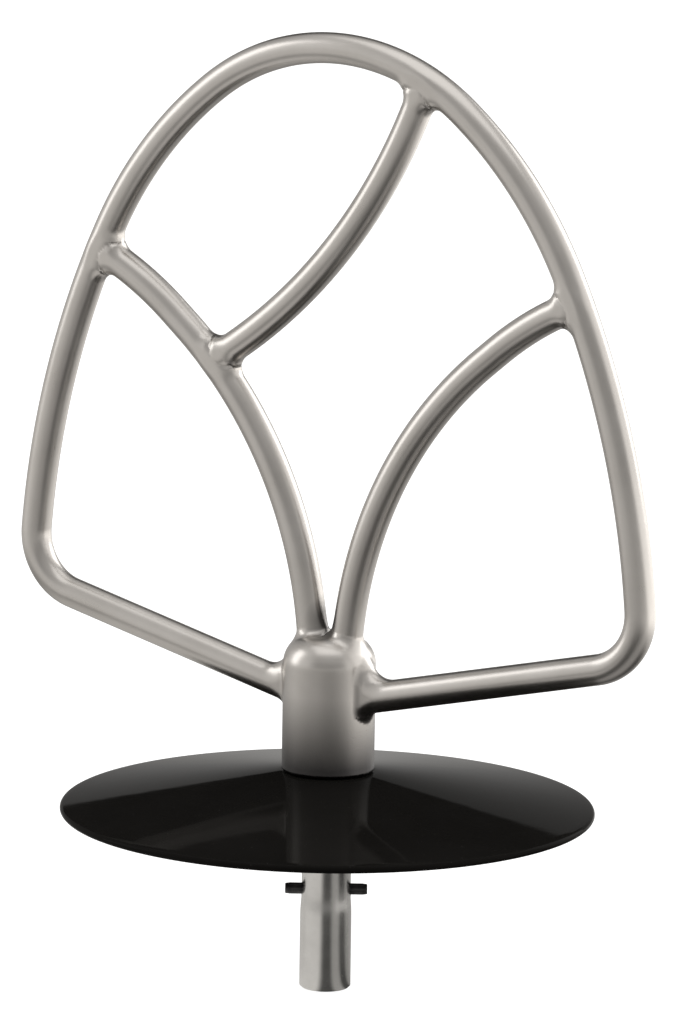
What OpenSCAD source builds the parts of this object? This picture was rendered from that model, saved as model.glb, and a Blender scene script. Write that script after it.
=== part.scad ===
// Flat beater for a stand mixer. A bent-rod loop and three curved arms are welded to a hub.
// The hub screws onto a shank with a cross pin, which plugs into the mixer and drives the beater.
// A conical drip shield turns on a bush between the hub and the lock nut.
// Frame: Z runs along the shank from the centre of its free end face, and the loop lies in the XZ plane.

/* [Rods] */
// Diameter of the rod that the loop and the arms are bent from
rod_d = 6; // [5.4:0.1:6.6]
// Radius of the dressed weld fillets where one rod meets another
rod_fillet = 3; // [2:0.25:3.5]
// Radius of the dressed weld fillets where a bottom bar meets the hub
hub_fillet = 4; // [3:0.25:4.5]
// Radius of the dressed weld fillets round the arms on top of the hub
crown_fillet = 1.5; // [1.3:0.1:1.8]

/* [Loop] */
// Height of the rod's centre line at the crown of the loop
crown_z = 184.2; // [181:0.2:188]
// Bend radius over the crown
crown_r = 46.8; // [45:0.2:49]
// Angle that the crown bend covers on each side of the middle
crown_sweep = 37.4; // [36:0.2:39]
// Bend radius of the shoulders
shoulder_r = 83.6; // [80:0.2:88]
// Angle that each shoulder bend covers
shoulder_sweep = 26.4; // [25:0.2:28]
// Bend radius of the long sides
side_r = 174.4; // [165:0.2:185]
// Angle that each long side covers
side_sweep = 21.2; // [20:0.2:22]
// Bend radius of the two lower corners
corner_r = 11.7; // [10:0.1:14]
// Slope of the two bottom bars up from the hub, in degrees
bar_slope = 13.3; // [11:0.1:15]

/* [Arms] */
// Distance from the axis to the foot of each side arm, at the top of the hub
arm_foot_x = 4.1; // [3.6:0.1:4.2]
// Outward lean of each side arm at its foot, in degrees
arm_lean = 5.4; // [4:0.2:7]
// Radius of the first bend of each side arm, from its foot
arm_r = 84.5; // [80:0.5:90]
// Angle that the first bend of each side arm covers
arm_sweep = 45; // [42:0.5:48]
// Length of the straight run between the two bends of each side arm
arm_straight = 4; // [2:0.5:8]
// Radius of the second bend of each side arm, which meets the loop
arm_tip_r = 70; // [60:1:90]
// Bend radius of the cross arm
cross_r = 115; // [105:1:125]
// Place of the cross arm's head on the crown bend, in degrees up from level
cross_head_angle = 64.4; // [60:0.2:68]
// Place of the cross arm's foot along the left arm's bend, in degrees from the arm's foot
cross_foot_angle = 39; // [36:0.5:41]

/* [Hub] */
// Outer diameter of the hub
hub_d = 18; // [17:0.5:20]
// Height of the hub's lower face above the tip of the shank
hub_z = 43.3; // [42:0.1:45]
// Length of the hub
hub_len = 26.7; // [25:0.1:28]
// Rounding of the hub's upper edge
hub_round = 5.5; // [5:0.25:6]
// Clearance between the hub's blind end and the shank, for the height adjustment
hub_reserve = 4; // [3.5:0.25:4.5]

/* [Shank] */
// Diameter of the drive end that plugs into the mixer
shank_d = 10; // [9.8:0.1:10.4]
// Length of the full-diameter drive end
drive_len = 18; // [17:0.5:18]
// Diameter of the shank above the drive end
neck_d = 9.6; // [9.2:0.1:9.6]
// Major diameter of the thread on the shank, M10
thread_d = 9.8; // [9.6:0.05:9.9]
// Height at which the thread starts
thread_z = 27; // [26:0.5:27]
// Total length of the shank
shank_len = 58; // [56:0.5:60]
// Chamfer round the tip of the shank
tip_chamfer = 0.4; // [0.2:0.1:0.5]

/* [Drive pin] */
// Diameter of the coiled spring pin
pin_d = 2.5; // [2:0.1:2.5]
// Length of the pin
pin_len = 16; // [14:0.5:18]
// Height of the pin above the tip of the shank
pin_z = 19.5; // [19.5:0.1:20.5]
// Direction of the pin, in degrees round the shank from the plane of the loop
pin_turn = 33; // [0:1:90]

/* [Shield] */
// Outer diameter of the drip shield
shield_d = 104; // [96:1:112]
// Drop of the upper face from the hub out to the rim
shield_drop = 7; // [5:0.25:9]
// Wall thickness of the shield
shield_t = 1.5; // [1.2:0.1:1.6]
// Width across the flat land under the hub
land_d = 18; // [17:0.5:18]

/* [Fasteners] */
// Width across flats of the lock nut
nut_af = 16; // [15:0.5:17]
// Thickness of the lock nut, the thin kind
nut_t = 5; // [4:0.25:5]
// Diameter of the spring lock washer
washer_d = 17.6; // [16:0.2:18]
// Thickness of the spring lock washer
washer_t = 2.2; // [1.8:0.1:2.2]
// Outer diameter of the sleeve that the shield turns on
bush_d = 13; // [12.5:0.25:14]
// Outer diameter of the bush's flange
flange_d = 18.4; // [17:0.2:20]
// Thickness of the bush's flange
flange_t = 1.2; // [1:0.1:1.3]

/* [Fits] */
// Running clearance on each side of the thread and of the bush
running_fit = 0.1; // [0.05:0.01:0.1]
// Gap between faces that turn or slide against each other
face_gap = 0.1; // [0.05:0.01:0.15]

/* [Hidden] */
$fn = 96;

steel = [0.66, 0.64, 0.61];
bright_steel = [0.72, 0.71, 0.69];
black_gloss = [0.09, 0.09, 0.08];
black_pin = [0.13, 0.13, 0.14];
black_plastic = [0.18, 0.18, 0.19];

rod_r = rod_d / 2;
hub_top = hub_z + hub_len;
thread_r = thread_d / 2;
nut_bore_r = thread_r + running_fit;

// Thin edge left on a fillet where it runs out
fillet_edge = 0.3;
// The band at the start of each bend, a hair proud of the rod
band_d = rod_d + 0.04;
band_len = 0.6;
// Gap under the foot of a side arm, which the weld fills
root_gap = 0.4;
// Least gap between the end of a rod and the rod that it is welded to
fit_up = 0.1;
// One radian, in degrees
degree = 180 / PI;
// Share of the rod's thickness that a fillet between two rods fills
web_share = 0.8;
edge_chamfer = 0.3;

// Unit vector in the plane of the loop, at an angle up from +X
function u(a) = [cos(a), sin(a)];

// Centre of the arc of radius r from p to q that bulges to the right of the way from p to q
function arc_centre(p, q, r) =
    let (d = q - p, half = norm(d) / 2, side = [-d.y, d.x] / norm(d))
    (p + q) / 2 + side * sqrt(r * r - half * half);

// Angle round c1 at which its circle of radius r1 crosses the circle of radius r2 round c2
function crossing(c1, r1, c2, r2) =
    let (d = c1 - c2)
    atan2(d.y, d.x) + acos((r2 * r2 - r1 * r1 - d * d) / (2 * r1 * norm(d)));

// Distance from a rod's centre line to the square end of a rod that meets it, skew degrees off square
function end_gap(skew) = rod_r * (1 + abs(sin(skew))) / cos(skew) + fit_up;

// The loop's right half: each bend starts where the one before it ends, with the same tangent
crown_c = [0, crown_z - crown_r];
shoulder_a = 90 - crown_sweep;
shoulder_c = crown_c + (crown_r - shoulder_r) * u(shoulder_a);
side_a = shoulder_a - shoulder_sweep;
side_c = shoulder_c + (shoulder_r - side_r) * u(side_a);
corner_a = side_a - side_sweep;
corner_c = side_c + (side_r - corner_r) * u(corner_a);
bar_a = bar_slope - 90;
bar_end = corner_c + corner_r * u(bar_a);
bar_len = bar_end.x / cos(bar_slope);
bar_root = bar_end - bar_len * u(bar_slope);

// The right arm: a bend from the hub, a short straight run, then a second bend out to the loop's side
arm_c = [arm_foot_x, hub_top] + arm_r * u(-arm_lean);
arm_foot_a = 180 - arm_lean;
arm_rise = 90 - arm_lean - arm_sweep;
arm_bend_end = arm_c + arm_r * u(arm_foot_a - arm_sweep);
arm_tip_start = arm_bend_end + arm_straight * u(arm_rise);
arm_tip_c = arm_tip_start + arm_tip_r * u(arm_rise - 90);
arm_head_a = crossing(arm_tip_c, arm_tip_r, side_c, side_r);
arm_head = arm_tip_c + arm_tip_r * u(arm_head_a);
arm_head_rise = arm_head_a - 90;
arm_head_skew = arm_head_rise - atan2(arm_head.y - side_c.y, arm_head.x - side_c.x);

// The cross arm, from the left arm up to the crown on the right
cross_head = crown_c + crown_r * u(cross_head_angle);
cross_foot_right = arm_c + arm_r * u(arm_foot_a - cross_foot_angle);
cross_foot = [-cross_foot_right.x, cross_foot_right.y];
cross_c = arc_centre(cross_foot, cross_head, cross_r);
cross_foot_a = atan2(cross_foot.y - cross_c.y, cross_foot.x - cross_c.x);
cross_head_a = atan2(cross_head.y - cross_c.y, cross_head.x - cross_c.x);
cross_head_skew = cross_head_a + 90 - cross_head_angle;
cross_foot_skew = cross_foot_a + arm_foot_a - cross_foot_angle - 90;

// The stack under the hub, from the hub down to the nut
shield_top = hub_z - 2 * face_gap;
bush_top = hub_z - face_gap;
flange_top = shield_top - shield_t - face_gap;
flange_z = flange_top - flange_t;
washer_z = flange_z - face_gap - washer_t;
nut_z = washer_z - face_gap - nut_t;
shield_slope = atan(shield_drop / (shield_d / 2 - land_d / 2));
shield_fall = shield_t / cos(shield_slope);

// Places its children at a point of the loop's plane, with their +Z at angle a up from +X
module at_point(p, a) {
    translate([p.x, 0, p.y])
        rotate([0, 90 - a, 0])
            children();
}

// Rod bent round c in the plane of the loop, over the angles from a1 up to a2
module bent_rod(c, r, a1, a2) {
    translate([c.x, 0, c.y])
        rotate([90, 0, 0])
            rotate([0, 0, a1])
                rotate_extrude(angle = a2 - a1)
                    translate([r, 0])
                        circle(d = rod_d);
}

// Straight rod from p, towards angle a
module straight_rod(p, a, length) {
    at_point(p, a)
        cylinder(d = rod_d, h = length);
}

// Band where one bend of a rod runs into the next at p, with the rod pointing towards angle a
module band(p, a) {
    at_point(p, a)
        cylinder(d = band_d, h = band_len, center = true);
}

// Half of the loop, from the end of the crown bend round to the hub's axis
module loop_half() {
    band(crown_c + crown_r * u(shoulder_a), shoulder_a - 90);
    bent_rod(shoulder_c, shoulder_r, side_a, shoulder_a);
    band(side_c + side_r * u(side_a), side_a - 90);
    bent_rod(side_c, side_r, corner_a, side_a);
    band(side_c + side_r * u(corner_a), corner_a - 90);
    bent_rod(corner_c, corner_r, bar_a, corner_a);
    band(bar_end, bar_slope);
    straight_rod(bar_root, bar_slope, bar_len);
}

// Outline of the hub, turned about the axis
module hub_outline() {
    rotate_extrude() {
        polygon([
            [0, hub_z],
            [hub_d / 2 - edge_chamfer, hub_z],
            [hub_d / 2, hub_z + edge_chamfer],
            [hub_d / 2, hub_top - hub_round],
            [0, hub_top - hub_round]
        ]);
        translate([0, hub_top - hub_round])
            square([hub_d / 2 - hub_round, hub_round]);
        intersection() {
            translate([hub_d / 2 - hub_round, hub_top - hub_round])
                circle(r = hub_round);
            translate([0, hub_top - hub_round])
                square([hub_d / 2, hub_round]);
        }
    }
}

// Ring of weld metal round a rod that lies along +Z. It is widest up to the height start,
// and narrows to the rod along a concave curve of the given radius.
module flare(start, fillet) {
    rotate_extrude()
        difference() {
            square([rod_r + fillet, start + fillet]);
            translate([rod_r + fillet + fillet_edge, start + fillet])
                circle(r = fillet);
        }
}

module shank() {
    color(bright_steel)
        difference() {
            rotate_extrude()
                polygon([
                    [0, 0],
                    [shank_d / 2 - tip_chamfer, 0],
                    [shank_d / 2, tip_chamfer],
                    [shank_d / 2, drive_len],
                    [neck_d / 2, drive_len],
                    [neck_d / 2, thread_z],
                    [thread_r, thread_z],
                    [thread_r, shank_len - 2 * edge_chamfer],
                    [thread_r - 2 * edge_chamfer, shank_len],
                    [0, shank_len]
                ]);
            translate([0, 0, pin_z])
                rotate([90, 0, 90 + pin_turn])
                    cylinder(d = pin_d, h = 2 * shank_d, center = true);
        }
}

module drive_pin() {
    color(black_pin)
        translate([0, 0, pin_z])
            rotate([90, 0, 90 + pin_turn])
                rotate_extrude()
                    polygon([
                        [0, -pin_len / 2],
                        [pin_d / 2 - edge_chamfer, -pin_len / 2],
                        [pin_d / 2, edge_chamfer - pin_len / 2],
                        [pin_d / 2, pin_len / 2 - edge_chamfer],
                        [pin_d / 2 - edge_chamfer, pin_len / 2],
                        [0, pin_len / 2]
                    ]);
}

module shield_bush() {
    color(black_plastic)
        rotate_extrude()
            polygon([
                [nut_bore_r, flange_z],
                [flange_d / 2, flange_z],
                [flange_d / 2, flange_top],
                [bush_d / 2, flange_top],
                [bush_d / 2, bush_top],
                [nut_bore_r, bush_top]
            ]);
}

module splash_shield() {
    rim_r = shield_d / 2 - shield_t / 2;
    rim_z = shield_top - (rim_r - land_d / 2) * tan(shield_slope) - shield_fall / 2;
    rim = [
        for (a = [90 - shield_slope : -15 : -90 - shield_slope])
            [rim_r, rim_z] + shield_t / 2 * u(a)
    ];
    color(black_gloss)
        rotate_extrude()
            polygon(concat(
                [[bush_d / 2 + running_fit, shield_top], [land_d / 2, shield_top]],
                rim,
                [[land_d / 2, shield_top - shield_fall], [bush_d / 2 + running_fit, shield_top - shield_t]]
            ));
}

module lock_washer() {
    color(bright_steel)
        translate([0, 0, washer_z])
            difference() {
                cylinder(d = washer_d, h = washer_t);
                translate([0, 0, -1])
                    cylinder(r = nut_bore_r + running_fit, h = washer_t + 2);
                translate([0, -washer_t / 4, -1])
                    cube([washer_d, washer_t / 2, washer_t + 2]);
            }
}

module lock_nut() {
    hex_r = nut_af / 2 / cos(30);
    bevel = (hex_r - nut_af / 2) / sqrt(3);
    color(bright_steel)
        translate([0, 0, nut_z])
            difference() {
                intersection() {
                    cylinder(r = hex_r, h = nut_t, $fn = 6);
                    rotate_extrude()
                        polygon([
                            [0, 0],
                            [nut_af / 2, 0],
                            [hex_r, bevel],
                            [hex_r, nut_t - bevel],
                            [nut_af / 2, nut_t],
                            [0, nut_t]
                        ]);
                }
                translate([0, 0, -1])
                    cylinder(r = nut_bore_r, h = nut_t + 2);
            }
}

module hub() {
    color(steel)
        difference() {
            hub_outline();
            translate([0, 0, hub_z - 1])
                cylinder(r = nut_bore_r, h = shank_len + hub_reserve - hub_z + 1);
        }
}

module outer_loop() {
    color(steel)
        difference() {
            union() {
                bent_rod(crown_c, crown_r, shoulder_a, 180 - shoulder_a);
                loop_half();
                mirror([1, 0, 0])
                    loop_half();
            }
            hub_outline();
        }
}

// Ends square, just short of the surface of the loop and just above the hub
module right_arm() {
    head_inset = end_gap(arm_head_skew) / arm_tip_r * degree;
    color(steel) {
        bent_rod(arm_c, arm_r, arm_foot_a - arm_sweep, arm_foot_a - root_gap / arm_r * degree);
        band(arm_bend_end, arm_rise);
        straight_rod(arm_bend_end, arm_rise, arm_straight);
        band(arm_tip_start, arm_rise);
        bent_rod(arm_tip_c, arm_tip_r, arm_head_a + head_inset, arm_rise + 90);
    }
}

module left_arm() {
    mirror([1, 0, 0])
        right_arm();
}

// Ends square, just short of the surfaces of the left arm and of the loop
module cross_arm() {
    foot_inset = end_gap(cross_foot_skew) / cross_r * degree;
    head_inset = end_gap(cross_head_skew) / cross_r * degree;
    color(steel)
        bent_rod(cross_c, cross_r, cross_foot_a + foot_inset, cross_head_a - head_inset);
}

// Weld round the feet of both side arms, closed across the narrow gap between them
module weld_crown() {
    color(steel)
        difference() {
            for (side = [-1, 1])
                translate([side * arm_foot_x, 0, hub_top - hub_round / 2])
                    flare(hub_round / 2, crown_fillet);
            hub_outline();
            for (side = [-1, 1])
                translate([side * arm_foot_x, 0, hub_top + root_gap])
                    cylinder(d = rod_d, h = hub_len);
        }
}

module weld_hub_right() {
    color(steel)
        difference() {
            at_point(bar_root, bar_slope)
                flare(hub_d / 2, hub_fillet);
            hub_outline();
            straight_rod(bar_root, bar_slope, bar_len);
        }
}

module weld_hub_left() {
    mirror([1, 0, 0])
        weld_hub_right();
}

// Weld between the square end of a rod that lies along +Z and the side of a rod that crosses its foot.
// The crossing rod leans by skew degrees from square.
module rod_weld(skew) {
    difference() {
        intersection() {
            flare(rod_r, rod_fillet);
            cube([4 * rod_d, web_share * rod_d, 4 * rod_d], center = true);
        }
        rotate([0, 90 + skew, 0])
            cylinder(d = rod_d, h = 4 * rod_d, center = true);
        translate([0, 0, end_gap(skew)])
            cylinder(d = rod_d, h = rod_d);
    }
}

module weld_right_arm() {
    color(steel)
        at_point(arm_head, arm_head_rise + 180)
            rod_weld(arm_head_skew);
}

module weld_left_arm() {
    mirror([1, 0, 0])
        weld_right_arm();
}

module weld_cross_head() {
    color(steel)
        at_point(cross_head, cross_head_a - 90)
            rod_weld(cross_head_skew);
}

module weld_cross_foot() {
    color(steel)
        at_point(cross_foot, cross_foot_a + 90)
            rod_weld(cross_foot_skew);
}

shank();
drive_pin();
shield_bush();
splash_shield();
lock_washer();
lock_nut();
hub();
outer_loop();
left_arm();
right_arm();
cross_arm();
weld_crown();
weld_hub_left();
weld_hub_right();
weld_left_arm();
weld_right_arm();
weld_cross_head();
weld_cross_foot();
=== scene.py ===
import math
from itertools import product

import bmesh
import bpy
import numpy as np
from mathutils import Matrix, Vector


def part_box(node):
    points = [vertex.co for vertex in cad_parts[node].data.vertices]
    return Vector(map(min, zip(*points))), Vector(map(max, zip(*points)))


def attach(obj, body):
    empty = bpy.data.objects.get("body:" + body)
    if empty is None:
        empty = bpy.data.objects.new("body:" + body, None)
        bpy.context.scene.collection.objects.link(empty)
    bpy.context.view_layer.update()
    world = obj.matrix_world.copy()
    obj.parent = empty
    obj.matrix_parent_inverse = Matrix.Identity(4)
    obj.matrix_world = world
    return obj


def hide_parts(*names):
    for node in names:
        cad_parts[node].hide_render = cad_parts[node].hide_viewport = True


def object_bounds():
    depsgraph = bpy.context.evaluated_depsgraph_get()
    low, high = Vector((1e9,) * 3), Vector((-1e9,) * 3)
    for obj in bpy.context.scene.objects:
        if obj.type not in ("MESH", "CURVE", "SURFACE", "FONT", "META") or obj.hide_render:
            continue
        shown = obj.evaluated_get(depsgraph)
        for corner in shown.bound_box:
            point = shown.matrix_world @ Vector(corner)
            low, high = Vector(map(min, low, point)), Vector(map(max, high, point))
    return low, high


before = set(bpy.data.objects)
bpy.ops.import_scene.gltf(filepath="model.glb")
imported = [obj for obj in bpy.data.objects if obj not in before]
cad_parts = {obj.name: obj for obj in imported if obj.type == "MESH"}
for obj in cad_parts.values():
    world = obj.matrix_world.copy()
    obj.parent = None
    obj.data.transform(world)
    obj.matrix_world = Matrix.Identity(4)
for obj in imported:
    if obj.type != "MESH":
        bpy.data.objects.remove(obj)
CAD_BOUNDS = [list(corner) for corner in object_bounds()]

# Everything below is drawn in millimetres, in the CAD frame, and scaled to metres as each mesh is made.
MM = 0.001


def node_mm(name):
    """Lowest and highest corner of a CAD node, in millimetres."""
    low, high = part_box(name)
    return np.array(low) / MM, np.array(high) / MM


def unit(angle):
    """Unit vector in the plane of the loop, at an angle in degrees up from +X."""
    return np.array([math.cos(math.radians(angle)), math.sin(math.radians(angle))])


# ---------------------------------------------------------------- dimensions of the welded beater

HUB_LOW, HUB_HIGH = node_mm("hub")
HUB_R = HUB_HIGH[0]
HUB_Z = HUB_LOW[2]
HUB_TOP = HUB_HIGH[2]
HUB_ROUND = 5.5
HUB_FOOT_ROUND = 0.5
BORE_R = 5.0
BORE_TOP = 62.0

ROD_R = 3.0
ROD_FILLET = 3.0
BAR_FILLET_ABOVE, BAR_FILLET_BELOW = 6.0, 2.2
CROWN_FILLET = 1.5
CROTCH_FILLET = 4.0
# How much deeper than the rods themselves the web of a weld may lie
WEB_DEPTH = 0.8
# Fillet where a bar and its web meet the hub's round side: a share of the web's thickness, within limits
TOE_SHARE = 1.5
TOE_LEAST, TOE_MOST = 0.02, 1.0

CROWN_Z = node_mm("outer_loop")[1][2] - ROD_R
CROWN_R, CROWN_SWEEP = 46.8, 37.4
SHOULDER_R, SHOULDER_SWEEP = 83.6, 26.4
SIDE_R, SIDE_SWEEP = 174.4, 21.2
CORNER_R = 11.7
BAR_SLOPE = 13.3

ARM_FOOT_X, ARM_LEAN = 4.1, 5.4
ARM_R, ARM_SWEEP = 84.5, 45.0
ARM_STRAIGHT, ARM_TIP_R = 4.0, 70.0
CROSS_R = 115.0
CROSS_HEAD_ANGLE = 64.4
CROSS_FOOT_ANGLE = 39.0

# Spacing of the grid that the welded beater's skin is drawn on
GRID = 0.45


def arc(centre, radius, start, end):
    """Part of a rod's centre line, running from the angle start to the angle end, in degrees."""
    return {"centre": centre, "radius": radius, "start": start, "end": end}


def line(start, end):
    """Straight part of a rod's centre line."""
    return {"from": start, "to": end}


def loop_parts():
    """The loop's right half, from the middle of the crown round to the hub's axis."""
    crown = np.array([0, CROWN_Z - CROWN_R])
    shoulder_a = 90 - CROWN_SWEEP
    shoulder = crown + (CROWN_R - SHOULDER_R) * unit(shoulder_a)
    side_a = shoulder_a - SHOULDER_SWEEP
    side = shoulder + (SHOULDER_R - SIDE_R) * unit(side_a)
    corner_a = side_a - SIDE_SWEEP
    corner = side + (SIDE_R - CORNER_R) * unit(corner_a)
    bar_a = BAR_SLOPE - 90
    bar_end = corner + CORNER_R * unit(bar_a)
    bar_root = bar_end - bar_end[0] / math.cos(math.radians(BAR_SLOPE)) * unit(BAR_SLOPE)
    return [
        arc(crown, CROWN_R, 90, shoulder_a),
        arc(shoulder, SHOULDER_R, shoulder_a, side_a),
        arc(side, SIDE_R, side_a, corner_a),
        arc(corner, CORNER_R, corner_a, bar_a),
        line(bar_end, bar_root),
    ]


def arm_parts():
    """The right arm, from the hub out to the loop's side."""
    side = LOOP[2]
    centre = np.array([ARM_FOOT_X, HUB_TOP]) + ARM_R * unit(-ARM_LEAN)
    foot_a = 180 - ARM_LEAN
    rise = 90 - ARM_LEAN - ARM_SWEEP
    bend_end = centre + ARM_R * unit(foot_a - ARM_SWEEP)
    tip_start = bend_end + ARM_STRAIGHT * unit(rise)
    tip_centre = tip_start + ARM_TIP_R * unit(rise - 90)
    offset = tip_centre - side["centre"]
    apart = np.linalg.norm(offset)
    share = (side["radius"] ** 2 - ARM_TIP_R**2 - apart**2) / (2 * ARM_TIP_R * apart)
    head_a = math.degrees(math.atan2(offset[1], offset[0]) + math.acos(share) + ROD_R / ARM_TIP_R)
    foot = centre + ARM_R * unit(foot_a)
    root = foot - 2 * ROD_R * unit(90 - ARM_LEAN)
    return [
        line(root, foot),
        arc(centre, ARM_R, foot_a, foot_a - ARM_SWEEP),
        line(bend_end, tip_start),
        arc(tip_centre, ARM_TIP_R, rise + 90, head_a),
    ]


def cross_parts():
    """The cross arm, from the left arm up to the crown on the right."""
    bend = ARM[1]
    head = LOOP[0]["centre"] + CROWN_R * unit(CROSS_HEAD_ANGLE)
    foot = (bend["centre"] + ARM_R * unit(bend["start"] - CROSS_FOOT_ANGLE)) * [-1, 1]
    way = head - foot
    half = np.linalg.norm(way) / 2
    side = np.array([-way[1], way[0]]) / (2 * half)
    centre = (foot + head) / 2 + side * math.sqrt(CROSS_R**2 - half * half)
    angles = [math.degrees(math.atan2(*(p - centre)[::-1])) for p in (foot, head)]
    inset = math.degrees(ROD_R / CROSS_R)
    return [arc(centre, CROSS_R, angles[0] + inset, angles[1] - inset)]


LOOP = loop_parts()
ARM = arm_parts()
CROSS = cross_parts()


# ---------------------------------------------------------------- distances from rods and hub

def part_distance(part, x, z):
    """Distance in the plane from one part of a centre line, with the way along it and the side of it."""
    if "from" in part:
        way = part["to"] - part["from"]
        length = np.linalg.norm(way)
        way = way / length
        dx, dz = x - part["from"][0], z - part["from"][1]
        along = np.clip(dx * way[0] + dz * way[1], 0, length)
        distance = np.hypot(dx - along * way[0], dz - along * way[1])
        return distance, along, dz * way[0] - dx * way[1], length
    middle = math.radians(part["start"] + part["end"]) / 2
    half = math.radians(abs(part["end"] - part["start"])) / 2
    sense = math.copysign(1, part["end"] - part["start"])
    radius = part["radius"]
    dx, dz = x - part["centre"][0], z - part["centre"][1]
    turn = (np.arctan2(dz, dx) - middle + math.pi) % (2 * math.pi) - math.pi
    held = np.clip(turn, -half, half)
    distance = np.hypot(dx - radius * np.cos(middle + held), dz - radius * np.sin(middle + held))
    along = radius * (half + sense * held)
    return distance, along, sense * (radius - np.hypot(dx, dz)), 2 * half * radius


def chain_distance(parts, x, z):
    """part_distance for parts that run on from one another."""
    best = None
    start = 0
    for part in parts:
        distance, along, side, length = part_distance(part, x, z)
        if best is None:
            best = [distance, along, side]
        else:
            nearer = distance < best[0]
            best = [np.where(nearer, new, old) for new, old in zip((distance, start + along, side), best)]
        start += length
    return best


def strip(parts, x, z):
    """Signed distance in the plane from the outline of a rod."""
    return chain_distance(parts, x, z)[0] - ROD_R


def lifted(flat, y):
    """Signed distance from a round rod whose outline lies at the planar signed distance flat."""
    return np.hypot(np.maximum(flat + ROD_R, 0), y) - ROD_R


def hub_distance(x, y, z):
    """Signed distance from the outside of the hub."""
    middle = (HUB_Z + HUB_TOP) / 2
    rounding = np.where(z > middle, HUB_ROUND, HUB_FOOT_ROUND)
    out = np.hypot(x, y) - HUB_R + rounding
    up = np.abs(z - middle) - (HUB_TOP - HUB_Z) / 2 + rounding
    outside = np.hypot(np.maximum(out, 0), np.maximum(up, 0))
    return np.minimum(np.maximum(out, up), 0) + outside - rounding


def all_strips(x, z):
    """Planar signed distances from the loop and from the left, right and cross arms."""
    return strip(LOOP, np.abs(x), z), strip(ARM, -x, z), strip(ARM, x, z), strip(CROSS, x, z)


def all_distances(x, y, z):
    """Signed distances from the hub, the loop, the left, right and cross arms."""
    return [hub_distance(x, y, z)] + [lifted(flat, y) for flat in all_strips(x, z)]


def welded(a, b, fillet):
    """Union of two signed distances, with a round fillet between them."""
    inner = np.hypot(np.maximum(fillet - a, 0), np.maximum(fillet - b, 0))
    return np.maximum(fillet, np.minimum(a, b)) - inner


def webbed(a, b, fillet):
    """Union of two planar outlines, with a web between them that isn't much deeper than the rods."""
    return np.maximum(welded(a, b, fillet), np.minimum(a, b) - WEB_DEPTH)


def bar_fillet(x, z):
    """Radius of the fillet between a bottom bar and the hub: wider above the bar than below."""
    bar = LOOP[4]
    way = (bar["from"] - bar["to"]) / np.linalg.norm(bar["from"] - bar["to"])
    above = (z - bar["to"][1]) * way[0] - np.abs(x) * way[1]
    share = np.clip(above / (2 * ROD_R) + 0.5, 0, 1)
    return BAR_FILLET_BELOW + (BAR_FILLET_ABOVE - BAR_FILLET_BELOW) * share


def bar_join(loop, x, z):
    """Planar outline of the bottom bars welded to the hub, and the thickness of the web that this adds."""
    outline = hub_distance(x, 0, z)
    side = welded(loop, outline, bar_fillet(x, z))
    return side, np.minimum(loop, outline) - side


def bore_distance(x, y, z):
    """Signed distance from the bore up the middle of the hub."""
    return np.maximum(np.hypot(x, y) - BORE_R, z - BORE_TOP)


def beater_field(x, y, z):
    """Signed distance from the whole welded beater, negative in the metal."""
    hub = hub_distance(x, y, z)
    loop, left, right, cross = all_strips(x, z)
    arms = webbed(webbed(left, right, CROTCH_FILLET), cross, ROD_FILLET)
    rods = lifted(webbed(arms, loop, ROD_FILLET), y)
    feet = welded(lifted(arms, y), hub, CROWN_FILLET)
    side, web = bar_join(loop, x, z)
    bars = welded(lifted(side, y), hub, np.clip(TOE_SHARE * web, TOE_LEAST, TOE_MOST))
    return np.maximum(np.minimum(rods, np.minimum(feet, bars)), -bore_distance(x, y, z))


# ---------------------------------------------------------------- the skin of the welded beater

def surface_net(values, low, step):
    """Quads over the zero level of a grid of values, with one vertex in each cell that it crosses."""
    inside = values < 0
    size = np.array(values.shape) - 1
    filled = np.zeros(size, np.uint8)
    for i, j, k in product((0, 1), repeat=3):
        filled += inside[i:i + size[0], j:j + size[1], k:k + size[2]]
    crossed = (filled > 0) & (filled < 8)
    cells = np.argwhere(crossed)
    number = np.full(size, -1, np.int64)
    number[crossed] = np.arange(len(cells))
    total = np.zeros((len(cells), 3))
    count = np.zeros(len(cells))
    for axis, p, q in product(range(3), (0, 1), (0, 1)):
        start = cells.copy()
        start[:, (axis + 1) % 3] += p
        start[:, (axis + 2) % 3] += q
        end = start.copy()
        end[:, axis] += 1
        a, b = values[tuple(start.T)], values[tuple(end.T)]
        cut = (a < 0) != (b < 0)
        point = start.astype(float)
        point[:, axis] += np.where(cut, a / np.where(cut, a - b, 1), 0)
        total += point * cut[:, None]
        count += cut
    vertices = low + step * total / count[:, None]
    quads = []
    for axis in range(3):
        u, v = np.eye(3, dtype=int)[(axis + 1) % 3], np.eye(3, dtype=int)[(axis + 2) % 3]
        near = np.take(inside, range(size[axis]), axis)
        far = np.take(inside, range(1, size[axis] + 1), axis)
        edges = np.argwhere(near != far)
        ring = [number[tuple((edges - shift).T)] for shift in (0 * u, u, u + v, v)]
        quad = np.stack(ring, axis=1)
        outward = near[tuple(edges.T)]
        quads.append(np.where(outward[:, None], quad, quad[:, ::-1]))
    return vertices, np.concatenate(quads)


def field_slope(points):
    """Gradient of the beater's signed distance at each point."""
    reach = 0.02
    slope = np.zeros(points.shape)
    for axis in range(3):
        step = np.zeros(3)
        step[axis] = reach
        slope[:, axis] = beater_field(*(points + step).T) - beater_field(*(points - step).T)
    return slope / (2 * reach)


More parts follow.
